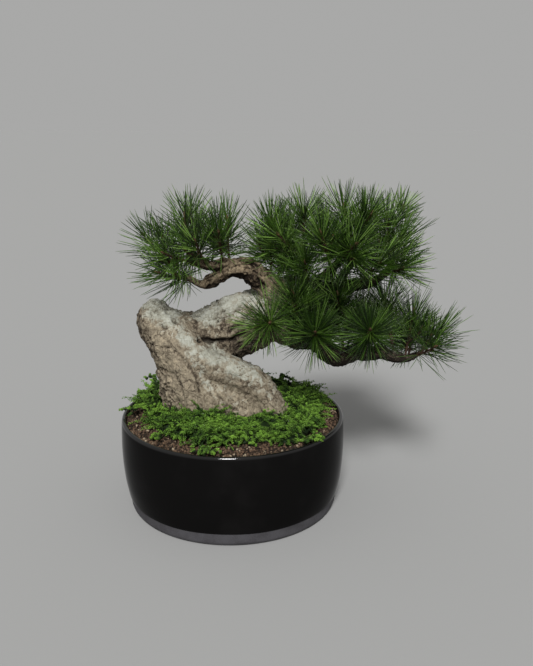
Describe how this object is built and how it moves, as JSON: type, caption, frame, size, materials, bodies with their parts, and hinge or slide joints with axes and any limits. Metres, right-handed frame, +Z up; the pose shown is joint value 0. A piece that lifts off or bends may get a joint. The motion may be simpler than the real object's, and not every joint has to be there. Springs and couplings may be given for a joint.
{
  "type": "bonsai tree in a pot",
  "caption": "Pine bonsai whose leaning trunk turns back on itself to carry tiers of needle shoots over moss, in a round black glazed pot.",
  "frame": {"origin": "centre of the pot's underside, on the surface the pot stands on", "axes": "+Z up, +X along the tree's long reach to the right of the front view, +Y to the back"},
  "size_m": [0.3051, 0.2, 0.2902],
  "materials": {
    "glaze": "gloss",
    "screen": "matte",
    "gravel": "matte",
    "wire": "satin",
    "soil": "matte",
    "moss": "matte",
    "bark": "matte",
    "needles": "satin"
  },
  "bodies": {
    "root": {"pot": "glaze", "drain_screen_1": "screen", "drain_screen_2": "screen", "drain_screen_3": "screen", "drainage_gravel": "gravel", "tie_wire": "wire", "soil": "soil", "moss_1": "moss", "moss_2": "moss", "moss_3": "moss", "moss_4": "moss", "moss_5": "moss", "moss_6": "moss", "moss_7": "moss", "moss_8": "moss", "trunk": "bark", "shoot_left_1": "needles", "shoot_left_2": "needles", "shoot_left_3": "needles", "shoot_left_4": "needles", "shoot_left_5": "needles", "shoot_left_6": "needles", "shoot_left_7": "needles", "shoot_left_8": "needles", "shoot_left_9": "needles", "shoot_left_10": "needles", "shoot_left_11": "needles", "shoot_crown_1": "needles", "shoot_crown_2": "needles", "shoot_crown_3": "needles", "shoot_crown_4": "needles", "shoot_crown_5": "needles", "shoot_crown_6": "needles", "shoot_crown_7": "needles", "shoot_crown_8": "needles", "shoot_crown_9": "needles", "shoot_crown_10": "needles", "shoot_crown_11": "needles", "shoot_crown_12": "needles", "shoot_crown_13": "needles", "shoot_crown_14": "needles", "shoot_crown_15": "needles", "shoot_crown_16": "needles", "shoot_crown_17": "needles", "shoot_crown_18": "needles", "shoot_low_1": "needles", "shoot_low_2": "needles", "shoot_low_3": "needles", "shoot_low_4": "needles", "shoot_low_5": "needles", "shoot_low_6": "needles", "shoot_low_7": "needles", "shoot_low_8": "needles", "shoot_low_9": "needles", "shoot_low_10": "needles", "shoot_low_11": "needles", "shoot_low_12": "needles", "shoot_low_13": "needles", "shoot_low_14": "needles"}
  },
  "joints": []
}
